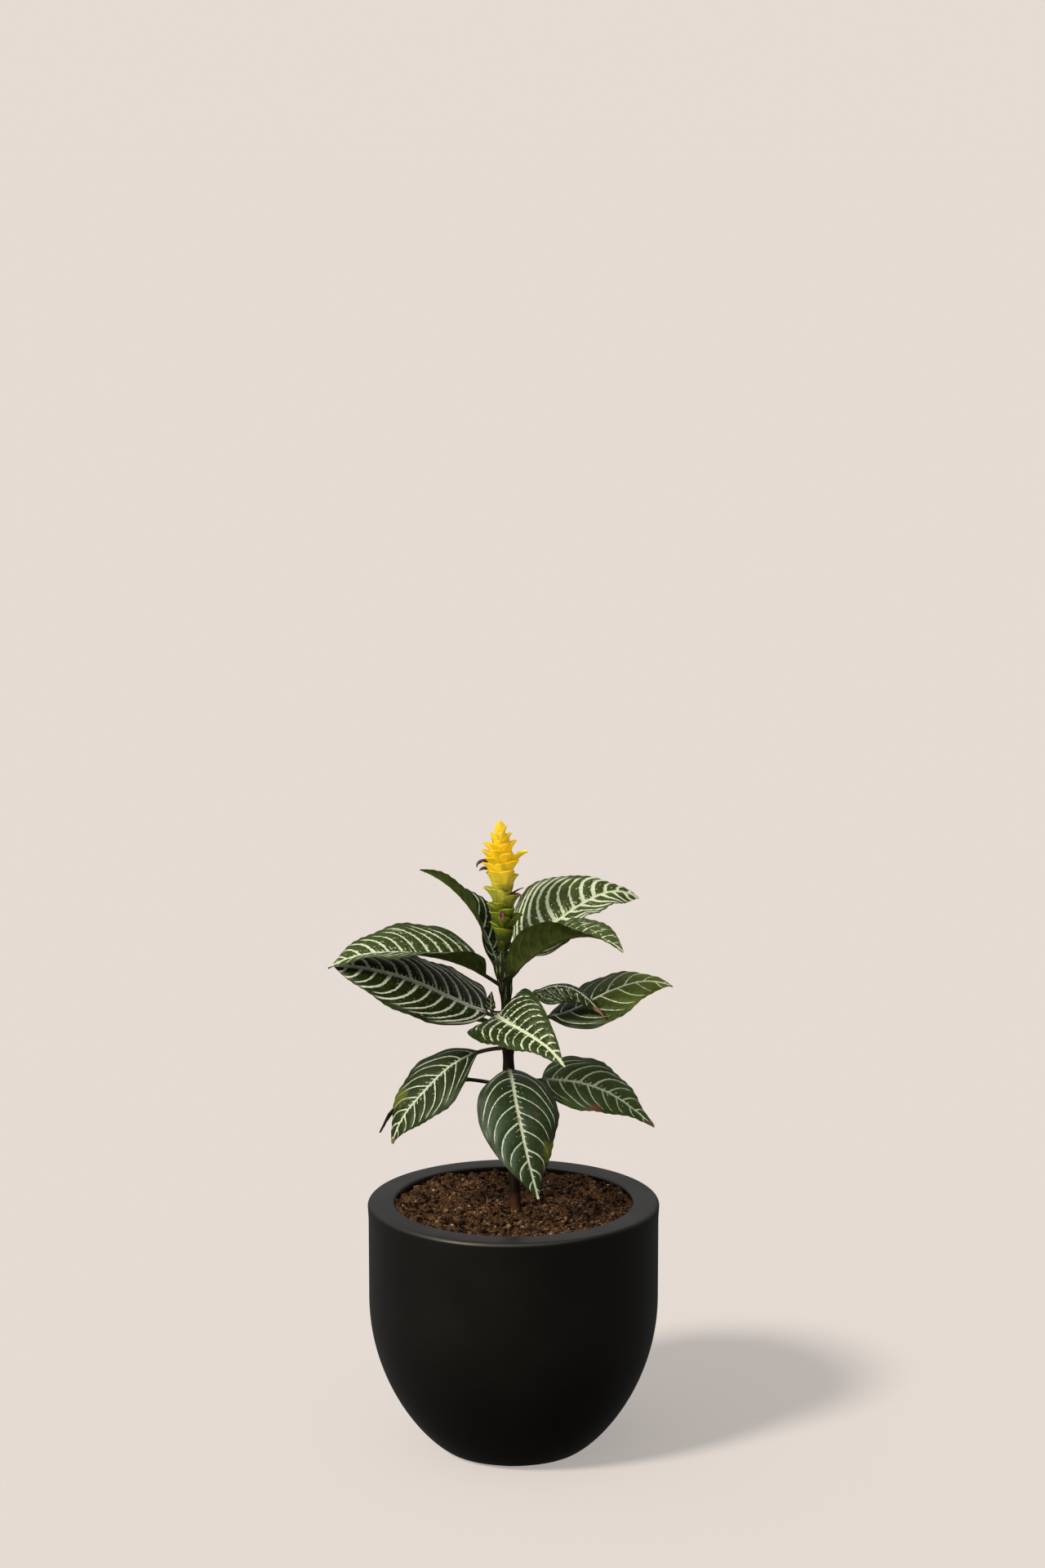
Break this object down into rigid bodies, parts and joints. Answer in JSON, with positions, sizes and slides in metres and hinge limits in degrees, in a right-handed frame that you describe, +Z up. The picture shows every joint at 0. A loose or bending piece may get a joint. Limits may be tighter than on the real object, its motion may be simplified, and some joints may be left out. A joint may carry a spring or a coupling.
{
  "type": "potted zebra plant",
  "caption": "Leafy houseplant with white-veined leaves and a yellow flower spike, growing from soil in a rounded black ceramic pot.",
  "frame": {"origin": "middle of the pot's foot, on the surface that the pot stands on", "axes": "+Z up along the pot's axis, front of the plant towards -Y"},
  "size_m": [0.2342, 0.2, 0.4401],
  "materials": {
    "pot": "matte",
    "soil": "matte",
    "stem": "matte",
    "leaf": "satin",
    "green_bracts": "satin",
    "yellow_bracts": "satin"
  },
  "bodies": {
    "root": {"pot": "pot", "soil": "soil", "stem": "stem", "leaf_top_right": "leaf", "leaf_upper_right": "leaf", "leaf_top_left": "leaf", "leaf_upper_left": "leaf", "leaf_middle_left": "leaf", "leaf_front": "leaf", "leaf_curled": "leaf", "leaf_middle_right": "leaf", "leaf_lower_left": "leaf", "leaf_behind_left": "leaf", "leaf_hanging": "leaf", "leaf_lower_right": "leaf", "leaf_shoot": "leaf", "spike_green": "green_bracts", "spike_yellow": "yellow_bracts"}
  },
  "joints": []
}
